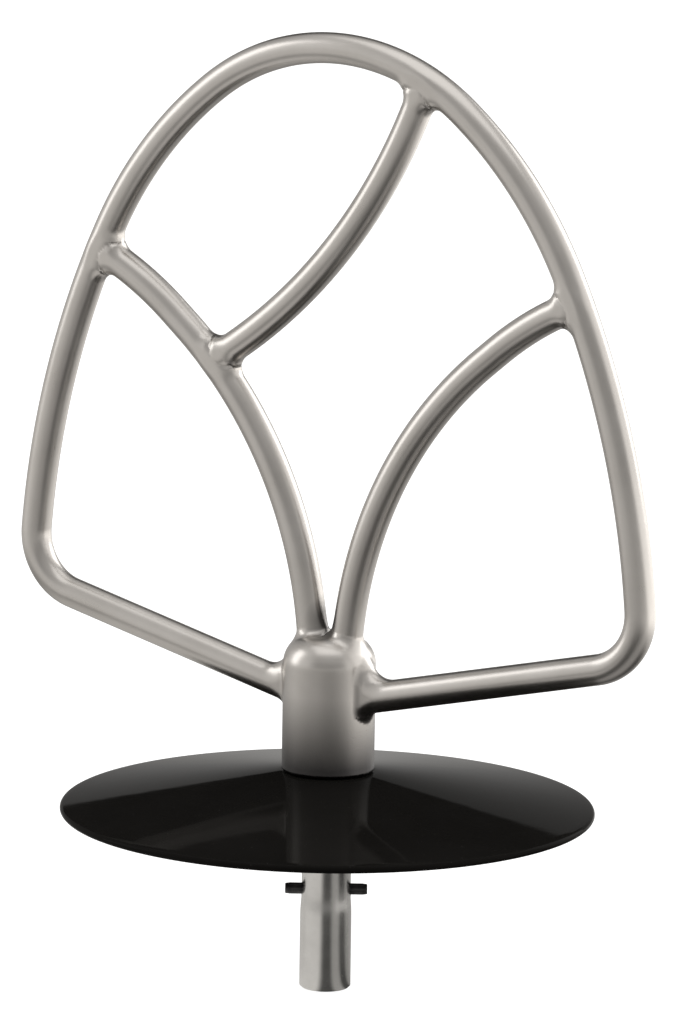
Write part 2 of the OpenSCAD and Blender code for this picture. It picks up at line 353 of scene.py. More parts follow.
def beater_skin():
    """Vertices, quads and exact normals of the welded beater's skin."""
    low, high = node_mm("outer_loop")
    low = np.array([low[0], -HUB_R, HUB_Z]) - 2 * GRID
    high = np.array([high[0], HUB_R, high[2]]) + 2 * GRID
    x, y, z = [np.arange(low[i], high[i] + GRID, GRID) for i in range(3)]
    values = beater_field(x[:, None, None], y[None, :, None], z[None, None, :])
    points, quads = surface_net(values, low, GRID)
    # the net lies close to the skin, and a few steps down the slope bring it on
    least_steepness = 0.25
    for _ in range(3):
        slope = field_slope(points)
        steepness = np.maximum((slope**2).sum(axis=1), least_steepness)
        points = points - slope * (beater_field(*points.T) / steepness)[:, None]
    normals = field_slope(points)
    normals /= np.maximum(np.linalg.norm(normals, axis=1), 1e-6)[:, None]
    return points, quads, normals


BEATER_NODES = [
    "hub", "outer_loop", "left_arm", "right_arm", "cross_arm", "weld_crown", "weld_hub_left",
    "weld_hub_right", "weld_left_arm", "weld_right_arm", "weld_cross_head", "weld_cross_foot",
]


# Where the skin of a bar's weld ends: at this thickness of web, this far out from the bar, this far to either
# side of the loop's plane, and this far under the hub's top
WEB_EDGE = 0.03
BAR_EDGE = 0.6
BAR_WELD_HALF = 4.2
BAR_WELD_DOWN = 4.2
# How far under the hub's top the skin of the crown's weld ends
CROWN_WELD_DOWN = 3


def node_of(points):
    """Which of BEATER_NODES each point of the skin belongs to."""
    x, y, z = points.T
    distances = all_distances(x, y, z)
    hub = distances[0]
    loop, left, right, cross = all_strips(x, z)
    chosen = np.argmin(np.stack(distances), axis=0)
    joined = hub < bar_fillet(x, z)
    web = bar_join(loop, x, z)[1]
    on_bar = joined & ((web > WEB_EDGE) | (distances[1] < BAR_EDGE))
    on_bar &= (np.abs(y) < BAR_WELD_HALF) & (z < HUB_TOP - BAR_WELD_DOWN)
    on_crown = (np.minimum(distances[2], distances[3]) < CROWN_FILLET) & (hub < CROWN_FILLET)
    on_crown &= z > HUB_TOP - CROWN_WELD_DOWN

    def near(a, b, fillet):
        """Points on the fillet between two shapes."""
        return (a < fillet) & (b < fillet) & (np.maximum(a, b) > -ROD_R)

    for name, where in (
        ("weld_left_arm", near(left, loop, ROD_FILLET) & ~joined),
        ("weld_right_arm", near(right, loop, ROD_FILLET) & ~joined),
        ("weld_cross_head", near(cross, loop, ROD_FILLET)),
        ("weld_cross_foot", near(cross, left, ROD_FILLET)),
        ("weld_hub_left", on_bar & (x < 0)),
        ("weld_hub_right", on_bar & (x >= 0)),
        ("weld_crown", on_crown),
    ):
        chosen[where] = BEATER_NODES.index(name)
    chosen[bore_distance(x, y, z) < GRID / 4] = 0
    return chosen


# Way along the grain by which each rod is set off from the last, so that no two show the same pattern
GRAIN_OFFSET = 400


def grain_of(points):
    """Grain coordinates in mm: along a rod or round the hub, then across, then through."""
    x, y, z = points.T
    nearest = np.argmin(np.stack(all_distances(x, y, z)), axis=0)
    grain = np.stack([x, z + np.hypot(x, y), np.zeros(len(x))], axis=1)
    for index, parts, across in ((1, LOOP, np.abs(x)), (2, ARM, -x), (3, ARM, x), (4, CROSS, x)):
        chain = chain_distance(parts, across, z)
        on = nearest == index
        grain[on] = np.stack([chain[1] + GRAIN_OFFSET * index, chain[2], y], axis=1)[on]
    return grain


def open_chains(faces):
    """Closed chains of the edges that only one face has, in the direction of that face."""
    edges = np.concatenate([faces[:, [i, (i + 1) % 4]] for i in range(4)])
    top = faces.max() + 1
    single = ~np.isin(edges[:, 0] * top + edges[:, 1], edges[:, 1] * top + edges[:, 0])
    onward = {}
    for a, b in edges[single].tolist():
        onward.setdefault(a, []).append(b)
    chains = []
    while onward:
        first = next(iter(onward))
        chain = [first]
        while True:
            here = chain[-1]
            step = onward[here].pop()
            if not onward[here]:
                del onward[here]
            if step == first:
                break
            chain.append(step)
        chains.append(chain)
    return chains


def new_object(name, mesh, body, nodes, material):
    """Puts a mesh in the scene as the piece that stands for these nodes."""
    obj = bpy.data.objects.new(name, mesh)
    bpy.context.scene.collection.objects.link(obj)
    mesh.materials.append(material)
    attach(obj, body)
    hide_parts(*nodes)
    return obj


def set_grain(mesh, grain):
    """Stores the grain coordinates that the steel materials read."""
    layer = mesh.attributes.new("grain", "FLOAT_VECTOR", "POINT")
    layer.data.foreach_set("vector", np.asarray(grain, np.float32).ravel())


def skin_piece(name, points, faces, normals, material):
    """One closed piece of the beater: its part of the skin, with hidden caps towards its neighbours."""
    used, faces = np.unique(faces, return_inverse=True)
    faces = faces.reshape(-1, 4)
    points, normals = points[used], normals[used]
    vertices = [points]
    caps = []
    count = len(points)
    for chain in open_chains(faces):
        ring = points[chain]
        size = len(chain)
        vertices.append(np.vstack([ring, ring.mean(axis=0)]))
        caps += [(count + (i + 1) % size, count + i, count + size) for i in range(size)]
        count += size + 1
    vertices = np.vstack(vertices)
    mesh = bpy.data.meshes.new(name)
    mesh.from_pydata((vertices * MM).tolist(), [], faces.tolist() + caps)
    mesh.polygons.foreach_set("use_smooth", [True] * len(mesh.polygons))
    corner_normals = [tuple(n) for n in normals[faces.ravel()].tolist()]
    for a, b, c in caps:
        flat = np.cross(vertices[b] - vertices[a], vertices[c] - vertices[a])
        flat = tuple(flat / max(np.linalg.norm(flat), 1e-9))
        corner_normals += [flat] * 3
    set_grain(mesh, grain_of(vertices))
    mesh.normals_split_custom_set(corner_normals)
    return new_object(f"{name}_detail", mesh, "beater", [name], material)


def build_beater(material):
    """The hub, the rods and the dressed welds, cut from one continuous skin."""
    points, quads, normals = beater_skin()
    owner = node_of(points[quads].mean(axis=1))
    for index, name in enumerate(BEATER_NODES):
        skin_piece(name, points, quads[owner == index], normals, material)


# ---------------------------------------------------------------- turned pieces

def soften(profile, radius, steps=4):
    """A closed profile with its corners rounded, by at most the given radius."""
    share = 0.45
    profile = [np.array(p, float) for p in profile]
    count = len(profile)
    out = []
    for i, corner in enumerate(profile):
        before = profile[i - 1] - corner
        after = profile[(i + 1) % count] - corner
        cut = min(radius, np.linalg.norm(before) * share, np.linalg.norm(after) * share)
        start = corner + before / np.linalg.norm(before) * cut
        end = corner + after / np.linalg.norm(after) * cut
        for t in np.linspace(0, 1, steps + 1):
            out.append((1 - t) ** 2 * start + 2 * t * (1 - t) * corner + t * t * end)
    return np.array(out)


def lathe(profile, segments, shape=None):
    """Vertices and faces of a closed profile of (radius, height) turned about the axis.

    shape(radius, height, angle) may bend the radius.
    """
    angles = np.linspace(0, 2 * math.pi, segments, endpoint=False)
    r, a = np.meshgrid(profile[:, 0], angles, indexing="ij")
    z = np.repeat(profile[:, 1][:, None], segments, axis=1)
    if shape is not None:
        r = shape(r, z, a)
    vertices = np.stack([r * np.cos(a), r * np.sin(a), z], axis=-1).reshape(-1, 3)
    rows = len(profile)
    i, j = np.meshgrid(np.arange(rows), np.arange(segments), indexing="ij")
    i2, j2 = (i + 1) % rows, (j + 1) % segments
    faces = np.stack([i * segments + j, i * segments + j2, i2 * segments + j2, i2 * segments + j], axis=-1)
    return vertices, faces.reshape(-1, 4)


def bridges(rings, size):
    """Faces between rings of vertices, each ring of the same size and joined to the next."""
    faces = []
    for i in range(rings - 1):
        here, onward = i * size, (i + 1) * size
        faces += [(here + j, here + (j + 1) % size, onward + (j + 1) % size, onward + j) for j in range(size)]
    return faces


def outward(mesh):
    """Turns a mesh's faces outwards and drops doubled vertices."""
    work = bmesh.new()
    work.from_mesh(mesh)
    bmesh.ops.remove_doubles(work, verts=work.verts, dist=1e-7)
    bmesh.ops.recalc_face_normals(work, faces=work.faces)
    work.to_mesh(mesh)
    work.free()


def solid_mesh(name, vertices, faces, sharp=40):
    """A smooth-shaded mesh in metres, with edges over the angle sharp kept crisp."""
    mesh = bpy.data.meshes.new(name)
    mesh.from_pydata((np.asarray(vertices) * MM).tolist(), [], [list(f) for f in faces])
    outward(mesh)
    mesh.polygons.foreach_set("use_smooth", [True] * len(mesh.polygons))
    mesh.set_sharp_from_angle(angle=math.radians(sharp))
    return mesh


def turned_grain(mesh):
    """Grain that runs round the axis, as turning leaves it."""
    co = np.zeros(3 * len(mesh.vertices), np.float32)
    mesh.vertices.foreach_get("co", co)
    x, y, z = co.reshape(-1, 3).T / MM
    set_grain(mesh, np.stack([x, z + np.hypot(x, y), np.zeros(len(x))], axis=1))


def drill(mesh, centre, direction, radius, length):
    """Cuts a round hole through a mesh."""
    along = Vector(direction)
    cutter = bmesh.new()
    bmesh.ops.create_cone(
        cutter, cap_ends=True, segments=48, radius1=radius * MM, radius2=radius * MM, depth=length * MM,
        matrix=Matrix.Translation(Vector(centre) * MM) @ along.to_track_quat("Z", "Y").to_matrix().to_4x4(),
    )
    tool_mesh = bpy.data.meshes.new("cutter")
    cutter.to_mesh(tool_mesh)
    cutter.free()
    tool = bpy.data.objects.new("cutter", tool_mesh)
    target = bpy.data.objects.new("target", mesh)
    for obj in (tool, target):
        bpy.context.scene.collection.objects.link(obj)
    cut = target.modifiers.new("hole", "BOOLEAN")
    cut.operation = "DIFFERENCE"
    cut.solver = "EXACT"
    cut.object = tool
    graph = bpy.context.evaluated_depsgraph_get()
    result = bpy.data.meshes.new_from_object(target.evaluated_get(graph))
    for obj in (tool, target):
        bpy.data.objects.remove(obj)
    bpy.data.meshes.remove(tool_mesh)
    return result


# Shank
SHANK_HIGH = node_mm("shank")[1]
DRIVE_R, DRIVE_LEN = 5.0, 18.0
NECK_R = 4.8
# The step from the drive end to the neck is eased over a length that starts below the drive end's top
STEP_BELOW, STEP_LEN = 3.2, 4.2
THREAD_R, THREAD_Z = 4.9, 27.0
THREAD_PITCH, THREAD_DEPTH = 1.5, 0.7
PIN_LOW, PIN_HIGH = node_mm("drive_pin")
PIN_Z = (PIN_LOW[2] + PIN_HIGH[2]) / 2
PIN_R = (PIN_HIGH[2] - PIN_LOW[2]) / 2
PIN_LEN = 16.0
PIN_TURN = 33.0


def thread_shape(r, z, a):
    """Cuts a right-hand thread into the upper part of the shank, running in over one turn."""
    half_crest, flank = 0.07, 0.33
    plain, run_out = 0.6, 1.2
    phase = (z / THREAD_PITCH - a / (2 * math.pi)) % 1
    groove = np.clip((0.5 - np.abs(phase - 0.5) - half_crest) / flank, 0, 1)
    groove = groove * np.clip((z - THREAD_Z - plain) / THREAD_PITCH, 0, 1)
    groove = groove * np.clip((SHANK_HIGH[2] - z) / run_out, 0, 1)
    return r - THREAD_DEPTH * groove * (r > THREAD_R - 0.2)


def build_shank(material):
    """The shank: faced and chamfered tip, drive end, neck and thread."""
    top = SHANK_HIGH[2]
    foot = [(0.35, 0.3), (0.7, 0.02), (DRIVE_R - 0.45, 0.0), (DRIVE_R - 0.02, 0.42), (DRIVE_R, 0.6)]
    step = []
    for share in np.linspace(0, 1, 9):
        eased = (1 - math.cos(math.pi * share)) / 2
        step.append((DRIVE_R + (NECK_R - DRIVE_R) * eased, DRIVE_LEN - STEP_BELOW + STEP_LEN * share))
    neck = [(NECK_R, THREAD_Z - 0.1), (THREAD_R, THREAD_Z + 0.1)]
    heights = np.arange(THREAD_Z + 0.3, top - 0.7, THREAD_PITCH / 10)
    thread = [(THREAD_R, z) for z in heights]
    end = [(THREAD_R - 0.6, top), (0.4, top), (0.02, top), (0.02, 0.3)]
    profile = np.array(foot + step + neck + thread + end)
    vertices, faces = lathe(profile, 96, thread_shape)
    mesh = solid_mesh("shank", vertices, faces, sharp=28)
    turn = math.radians(PIN_TURN)
    way = (math.cos(turn), math.sin(turn), 0)
    slack = 0.04
    mesh = drill(mesh, (0, 0, PIN_Z), way, PIN_R + slack, 4 * DRIVE_R)
    turned_grain(mesh)
    new_object("shank_detail", mesh, "shank", ["shank"], material)


def build_pin(material):
    """Coiled spring pin: a strip wound two and a quarter turns, with swaged ends."""
    turns, thick, gap = 2.25, 0.26, 0.035
    wind = np.linspace(0, 2 * math.pi * turns, 110)
    outer = PIN_R - (thick + gap) * wind / (2 * math.pi)
    section = np.concatenate([
        np.stack([outer, wind], axis=1),
        np.stack([outer - thick, wind], axis=1)[::-1],
    ])
    half = PIN_LEN / 2
    stations = [-half, -half + 0.12, -half + 0.5, -half + 0.95, -half / 2, 0]
    stations += [-s for s in stations[-2::-1]]
    swage = [0.84, 0.9, 0.955, 1.0, 1.0, 1.0]
    swage += swage[-2::-1]
    size = len(section)
    vertices = []
    for station, narrowing in zip(stations, swage):
        r = section[:, 0] * narrowing
        ring = [np.full(size, station), r * np.cos(section[:, 1]), r * np.sin(section[:, 1])]
        vertices += np.stack(ring, axis=1).tolist()
    faces = bridges(len(stations), size)
    last = (len(stations) - 1) * size
    for j in range(size // 2 - 1):
        faces.append((j, size - 1 - j, size - 2 - j, j + 1))
        faces.append((last + j, last + j + 1, last + size - 2 - j, last + size - 1 - j))
    mesh = solid_mesh("drive_pin", vertices, faces, sharp=35)
    mesh.transform(Matrix.Rotation(math.radians(PIN_TURN), 4, "Z"))
    mesh.transform(Matrix.Translation((0, 0, PIN_Z * MM)))
    new_object("drive_pin_detail", mesh, "shank", ["drive_pin"], material)


def build_shield(material):
    """The drip shield: flat land under the hub, cone, and a full-round rim."""
    low, high = node_mm("splash_shield")
    bore, land, wall = 6.6, 9.0, 1.5
    rim_r = high[0] - wall / 2
    rim_z = low[2] + wall / 2
    top = high[2]
    slope = math.degrees(math.atan2(top - rim_z - wall / 2, rim_r - land))
    under = wall / math.cos(math.radians(slope))
    upper = [(bore, top), (land, top), (land + 1, top - math.tan(math.radians(slope)))]
    for r in np.linspace(land + 3, rim_r - 1, 14):
        upper.append((r, top - (r - land) * math.tan(math.radians(slope))))
    rim = [np.array([rim_r, rim_z]) + wall / 2 * unit(a) for a in np.linspace(90 - slope, -90 - slope, 15)]
    lower = [(r, z - under) for r, z in upper[:0:-1]]
    profile = np.array(upper + [tuple(p) for p in rim] + lower + [(bore, top - wall)])
    vertices, faces = lathe(profile, 288)
    mesh = solid_mesh("splash_shield", vertices, faces, sharp=30)
    new_object("splash_shield_detail", mesh, "shield", ["splash_shield"], material)


def build_bush(material):
    """The flanged bush that the shield turns on, with broken edges."""
    low, high = node_mm("shield_bush")
    flange_top = low[2] + 1.2
    sleeve_r = 6.5
    profile = soften([
        (BORE_R, low[2]), (high[0], low[2]), (high[0], flange_top), (sleeve_r, flange_top),
        (sleeve_r, high[2]), (BORE_R, high[2]),
    ], 0.25)
    vertices, faces = lathe(profile, 128)
    mesh = solid_mesh("shield_bush", vertices, faces)
    new_object("shield_bush_detail", mesh, "carriage", ["shield_bush"], material)


def build_washer(material):
    """The split spring washer, with square cut ends and broken edges."""
    low, high = node_mm("lock_washer")
    outer = -low[0]
    inner = 5.1
    gap = (high[2] - low[2]) / 4
    section = soften([(inner, low[2]), (outer, low[2]), (outer, high[2]), (inner, high[2])], 0.22, 3)
    start = math.asin(gap / ((inner + outer) / 2))
    angles = np.linspace(start, 2 * math.pi - start, 120)
    size = len(section)
    vertices = []
    for a in angles:
        vertices += [(r * math.cos(a), r * math.sin(a), z) for r, z in section]
    faces = [tuple(range(size)), tuple(range((len(angles) - 1) * size, len(angles) * size))]
    faces += bridges(len(angles), size)
    mesh = solid_mesh("lock_washer", vertices, faces, sharp=50)
    turned_grain(mesh)
    new_object("lock_washer_detail", mesh, "washer", ["lock_washer"], material)


def build_nut(material):
    """The thin lock nut: a hexagon with both faces chamfered, and a threaded bore."""
    low, high = node_mm("lock_nut")
    flat = (high[1] - low[1]) / 2
    point = flat / math.cos(math.radians(30))
    thick = high[2] - low[2]
    centre = (low[2] + high[2]) / 2

    def shape(r, z, a):
        """Draws the outer rows in to the hexagon and its chamfer, and cuts the bore's thread."""
        hollow, blunt, chamfer_in = 0.05, 0.08, 0.15
        thread_out, thread_end = 0.5, 0.7
        off_centre = np.abs(z - centre)
        across = (a + math.pi / 6) % (math.pi / 3) - math.pi / 6
        hexagon = (flat - hollow * np.cos(6 * a)) / np.cos(np.abs(across))
        hexagon = np.minimum(hexagon, point - blunt)
        chamfer = flat - chamfer_in + (thick / 2 - off_centre) * math.sqrt(3)
        phase = (z / THREAD_PITCH - a / (2 * math.pi)) % 1
        groove = np.clip(1 - 3 * np.abs(phase - 0.5), 0, 1) * (off_centre < thick / 2 - thread_end)
        inside = r + thread_out * groove
        on_bore, on_outside = r < BORE_R + 0.05, r > flat - 0.3
        return np.where(on_outside, np.minimum(hexagon, chamfer), np.where(on_bore, inside, r))

    rise = np.concatenate([[0, 0.25, 0.5, 0.75, 1.0], np.linspace(1.3, thick - 1.3, 6)])
    rise = np.concatenate([rise, thick - np.array([1.0, 0.75, 0.5, 0.25, 0])])
    outer = [(point, low[2] + h) for h in rise]
    inner = [(BORE_R, low[2] + h) for h in np.linspace(thick - 0.5, 0.5, 28)]
    faces_up = [(flat - 0.35, high[2]), (BORE_R + 0.5, high[2])]
    faces_down = [(BORE_R + 0.5, low[2]), (flat - 0.35, low[2])]
    vertices, faces = lathe(np.array(outer + faces_up + inner + faces_down), 216, shape)
    mesh = solid_mesh("lock_nut", vertices, faces, sharp=24)
    turned_grain(mesh)
    new_object("lock_nut_detail", mesh, "nut", ["lock_nut"], material)


# ---------------------------------------------------------------- materials

def add_node(tree, kind, inputs=None, **settings):
    """Adds a shader node. inputs maps sockets to values, or to output sockets that are linked in."""
    made = tree.nodes.new(kind)
    for key, value in settings.items():
        setattr(made, key, value)
    for key, value in (inputs or {}).items():
        if isinstance(value, bpy.types.NodeSocket):
            tree.links.new(value, made.inputs[key])
        else:
            made.inputs[key].default_value = value
    return made


class Shader:
    """A small helper that builds a material on a Principled shader."""

    def __init__(self, name):
        self.material = bpy.data.materials.new(name)
        self.material.use_nodes = True
        self.tree = self.material.node_tree
        self.surface = self.tree.nodes["Principled BSDF"]

    def node(self, kind, inputs=None, **settings):
        """Adds a node to the material, as add_node does."""
        return add_node(self.tree, kind, inputs, **settings)

    def place(self):
        """Where a point lies, in metres in the CAD frame at rest."""
        return self.node("ShaderNodeTexCoord").outputs["Object"]

    def grain(self):
        """The grain coordinates that set_grain stored."""
        return self.node("ShaderNodeAttribute", attribute_name="grain").outputs["Vector"]

    def scaled(self, source, scale):
        """A vector with each axis scaled."""
        return self.node("ShaderNodeVectorMath", {0: source, 1: scale}, operation="MULTIPLY").outputs[0]

    def noise(self, source, scale, detail=3.0, rough=0.55):
        """Noise from 0 to 1."""
        inputs = {"Vector": source, "Scale": scale, "Detail": detail, "Roughness": rough}
        return self.node("ShaderNodeTexNoise", inputs).outputs["Fac"]

    def span(self, value, low, high, to_low, to_high):
        """Maps a value from one range to another, held at its ends."""
        inputs = {"Value": value, "From Min": low, "From Max": high, "To Min": to_low, "To Max": to_high}
        return self.node("ShaderNodeMapRange", inputs).outputs["Result"]

    def vary(self, noise, to_low, to_high):
        """Maps the span that most of a noise lies in to another range."""
        return self.span(noise, 0.3, 0.7, to_low, to_high)

    def sum(self, a, b):
        """a plus b."""
        return self.node("ShaderNodeMath", {0: a, 1: b}, operation="ADD").outputs[0]

    def bands(self, share, stops):
        """Grey that follows (place, brightness) stops as share goes from 0 to 1."""
        made = self.node("ShaderNodeValToRGB", {"Fac": share})
        made.color_ramp.interpolation = "EASE"
        points = made.color_ramp.elements
        while len(points) < len(stops):
            points.new(0.5)
        for point, (place, grey) in zip(points, stops):
            point.position = place
            point.color = (grey, grey * 0.98, grey * 0.95, 1.0)
        return made.outputs["Color"]

    def blend(self, share, a, b):
        """Colour a at share 0, and b at share 1."""
        made = self.node("ShaderNodeMix", {"Factor": share, "A": a, "B": b}, data_type="RGBA")
        return made.outputs["Result"]

    def bump(self, height, distance, below=None):
        """Normal bent by a height, where the height 1 stands out by the distance in metres."""
        inputs = {"Height": height, "Distance": distance, "Strength": 1.0}
        if below is not None:
            inputs["Normal"] = below
        return self.node("ShaderNodeBump", inputs).outputs["Normal"]

    def finish(self, **values):
        """Sets or links the surface's own sockets."""
        for key, value in values.items():
            socket = self.surface.inputs[key.replace("_", " ")]
            if isinstance(value, bpy.types.NodeSocket):
                self.tree.links.new(value, socket)
            else:
                socket.default_value = value
        return self.material


def colour(red, green, blue):
    """An opaque colour."""
    return (red, green, blue, 1.0)


# Painted shade, darkening the steel's colour: at the hub's foot, fading out between two heights above it, and
# between the arms' feet, fading out between two distances from a point above the hub's top
FOOT_DARK, FOOT_BRIGHT = 1.5, 16
CROTCH_ABOVE = 3.2
CROTCH_DARK, CROTCH_BRIGHT = 2.0, 5.2


def satin_steel():
    """Satin polished stainless steel: fine grain along the rods, soft blotches and tiny specks.

    Low on the hub, just above the black shield, and between the feet of the arms, the colour is darkened:
    painted shade.
    """
    s = Shader("satin_steel")
    place = s.place()
    height = s.node("ShaderNodeSeparateXYZ", {0: place}).outputs["Z"]
    grain = s.grain()
    fine = s.noise(s.scaled(grain, (0.12, 5.0, 5.0)), 1.0, 4.0, 0.65)
    blotch = s.noise(place, 85.0, 4.0, 0.6)
    speck = s.noise(place, 1500.0, 2.0)
    tint = s.blend(s.vary(blotch, 0, 1), colour(0.47, 0.448, 0.422), colour(0.52, 0.497, 0.472))
    tint = s.blend(s.span(fine, 0.4, 0.8, 0, 0.16), tint, colour(0.58, 0.56, 0.535))
    # painted shade: darker low on the hub, and close to a point between the arms' feet
    low = s.span(height, (HUB_Z + FOOT_DARK) * MM, (HUB_Z + FOOT_BRIGHT) * MM, 1.0, 0)
    crotch = (0, 0, (HUB_TOP + CROTCH_ABOVE) * MM)
    away = s.node("ShaderNodeVectorMath", {0: place, 1: crotch}, operation="DISTANCE").outputs["Value"]
    between = s.span(away, CROTCH_DARK * MM, CROTCH_BRIGHT * MM, 0.8, 0)
    painted_shade = s.sum(s.sum(low, between), s.vary(blotch, -0.04, 0.04))
    # the painted shade blends the colour towards near black
    tint = s.blend(s.span(painted_shade, 0.04, 1, 0, 0.96), tint, colour(0.05, 0.048, 0.049))
    rough = s.sum(s.vary(blotch, 0.275, 0.315), s.vary(fine, -0.01, 0.014))
    normal = s.bump(fine, 0.0000016)
    normal = s.bump(speck, 0.000002, below=normal)
    return s.finish(Base_Color=tint, Metallic=1.0, Roughness=rough, Normal=normal)


def turned_steel():
    """Fine turned and polished stainless steel, with faint rings round the axis."""
    s = Shader("turned_steel")
    place = s.place()
    grain = s.grain()
    rings = s.noise(s.scaled(grain, (0.05, 14.0, 1.0)), 1.0, 4.0, 0.7)
    wear = s.noise(place, 140.0, 5.0, 0.65)
    tint = s.blend(s.span(wear, 0.35, 0.7, 0, 1), colour(0.56, 0.55, 0.53), colour(0.64, 0.63, 0.61))
    tint = s.blend(s.span(rings, 0.4, 0.8, 0, 0.4), tint, colour(0.47, 0.46, 0.45))
    rough = s.sum(s.vary(rings, 0.16, 0.23), s.span(wear, 0.4, 0.75, 0, 0.07))
    normal = s.bump(rings, 0.000004)
    return s.finish(Base_Color=tint, Metallic=1.0, Roughness=rough, Normal=normal)


def fastener_steel():
    """Plain stainless fastener: cooler, a little duller, with tumbled dents."""
    s = Shader("fastener_steel")
    place = s.place()
    dents = s.noise(place, 900.0, 3.0)
    stain = s.noise(place, 160.0, 4.0, 0.6)
    tint = s.blend(s.vary(stain, 0, 1), colour(0.44, 0.44, 0.43), colour(0.55, 0.55, 0.54))
    rough = s.sum(s.vary(stain, 0.24, 0.34), s.vary(dents, -0.02, 0.03))
    normal = s.bump(dents, 0.00002)
    return s.finish(Base_Color=tint, Metallic=1.0, Roughness=rough, Normal=normal)


def black_pin_steel():
    """Black oxide on spring steel, rubbed a little lighter on the high spots."""
    s = Shader("black_pin")
    place = s.place()
    rub = s.noise(place, 420.0, 5.0, 0.65)
    mottle = s.noise(place, 1400.0, 2.0)
    tint = s.blend(s.span(rub, 0.45, 0.75, 0, 1), colour(0.03, 0.03, 0.031), colour(0.085, 0.083, 0.082))
    rough = s.sum(s.span(rub, 0.4, 0.75, 0.42, 0.3), s.vary(mottle, -0.03, 0.05))
    normal = s.bump(mottle, 0.00001)
    return s.finish(Base_Color=tint, Metallic=0.55, Roughness=rough, Normal=normal)


def gloss_black():
    """Glossy black shield: faint haze, fine swirl scratches and a trace of dust."""
    s = Shader("black_gloss")
    place = s.place()
    haze = s.noise(place, 38.0, 4.0, 0.6)
    swirl = s.noise(s.scaled(place, (1.0, 7.0, 1.0)), 260.0, 4.0, 0.7)
    dust = s.noise(place, 2600.0, 1.0)
    dark, pale = colour(0.007, 0.0066, 0.006), colour(0.010, 0.0094, 0.0088)
    tint = s.blend(s.span(haze, 0.3, 0.75, 0, 1), dark, pale)
    tint = s.blend(s.span(dust, 0.74, 0.82, 0, 0.5), tint, colour(0.07, 0.067, 0.062))
    rough = s.sum(s.vary(haze, 0.035, 0.06), s.span(swirl, 0.5, 0.8, 0, 0.05))
    normal = s.bump(haze, 0.00003)
    return s.finish(Base_Color=tint, Roughness=rough, Normal=normal, IOR=1.055)


def acetal():
    """Black acetal of the bush: dull, slightly waxy, with fine turning lines."""
    s = Shader("black_plastic")
    place = s.place()
    lines = s.noise(s.scaled(place, (1.0, 1.0, 30.0)), 130.0, 3.0)
    cloud = s.noise(place, 220.0, 4.0)
    tint = s.blend(s.vary(cloud, 0, 1), colour(0.018, 0.018, 0.019), colour(0.034, 0.034, 0.035))
    rough = s.sum(s.vary(cloud, 0.38, 0.5), s.vary(lines, -0.04, 0.05))
    normal = s.bump(lines, 0.000015)
    return s.finish(Base_Color=tint, Roughness=rough, Normal=normal)


def floor_paper():
    """Pale matt paper, white to the camera; to other rays a painted glow of bands, by turn and distance."""
    s = Shader("floor_paper")
    place = s.place()
    fibre = s.noise(place, 60.0, 3.0)
    tint = s.blend(s.vary(fibre, 0, 1), colour(0.40, 0.40, 0.40), colour(0.415, 0.415, 0.415))
    s.finish(Base_Color=tint, Roughness=0.95, Specular_IOR_Level=0.1)
    s.finish(Emission_Color=colour(1, 1, 1), Emission_Strength=FLOOR_LIFT)
    ahead, aside = camera_shares(s.tree, place)
    away = s.node("ShaderNodeVectorMath", {0: place}, operation="LENGTH").outputs["Value"]
    turn = s.node("ShaderNodeMath", {0: aside, 1: ahead}, operation="ARCTAN2").outputs[0]
    share = s.span(turn, -math.pi, math.pi, 0, 1)
    near = s.bands(share, FLOOR_NEAR)
    far = s.bands(share, FLOOR_FAR)
    middle = s.bands(share, FLOOR_MIDDLE)
    ring = s.blend(s.span(away, *MIDDLE_TO_FAR, 0, 1), middle, far)
    ring = s.blend(s.span(away, *NEAR_TO_MIDDLE, 0, 1), near, ring)
    # painted light: the floor glows in these bands for every ray but the camera's
    glow = s.node("ShaderNodeEmission", {"Color": ring, "Strength": 1.0}).outputs[0]
    seen = s.node("ShaderNodeLightPath").outputs["Is Camera Ray"]
    mixed = s.node("ShaderNodeMixShader", {0: seen, 1: glow, 2: s.surface.outputs[0]}).outputs[0]
    s.tree.links.new(mixed, s.tree.nodes["Material Output"].inputs["Surface"])
    return s.material


# ---------------------------------------------------------------- camera, floor and light

CAMERA_TURN = 33.34
CAMERA_RISE = 10.66
CAMERA_ROLL = 0.85
CAMERA_AWAY = 1.5
CAMERA_LENS = 273.3
CAMERA_LOOKS_AT = (0.00125, 0.00085, 0.0942)


# Light that the floor gives off of its own, which keeps it white to the camera
FLOOR_LIFT = 0.9
# Half the width of the floor, in metres, its cells along each side, and how far it lies under the shank's tip
FLOOR_HALF, FLOOR_CELLS, FLOOR_GAP = 9.0, 8, 0.00002


def by_turn(*stops):
    """Stops for Shader.bands, from (turn in degrees, brightness)."""
    return [((turn + 180) / 360, grey) for turn, grey in stops]


# Brightness of the floor as the object reflects it, by the turn from the camera's direction, in degrees:
# close to the shank, under the rim of the shield, and further out
FLOOR_NEAR = by_turn(
    (-180, 0.5), (-120, 0.75), (-80, 0.85), (-30, 0.82), (-6, 0.10), (16, 0.09), (34, 0.42), (52, 0.42),
    (68, 0.08), (84, 0.08), (104, 0.35), (140, 0.45), (180, 0.5),
)
FLOOR_MIDDLE = by_turn((-180, 0.25), (-90, 0.4), (-45, 0.25), (22, 0.12), (60, 0.7), (90, 1.0), (180, 0.25))
FLOOR_FAR = by_turn(
    (-180, 0.5), (-90, 0.9), (-40, 0.7), (0, 0.62), (40, 0.85), (75, 2.0), (130, 2.0), (180, 0.5),
)
# Distances from the axis, in metres, over which one of these runs into the next
NEAR_TO_MIDDLE = (0.12, 0.20)
MIDDLE_TO_FAR = (0.21, 0.34)


def camera_way():
    """Unit vector from the object to the camera."""
    turn, rise = math.radians(CAMERA_TURN), math.radians(CAMERA_RISE)
    return Vector((math.sin(turn) * math.cos(rise), -math.cos(turn) * math.cos(rise), math.sin(rise)))


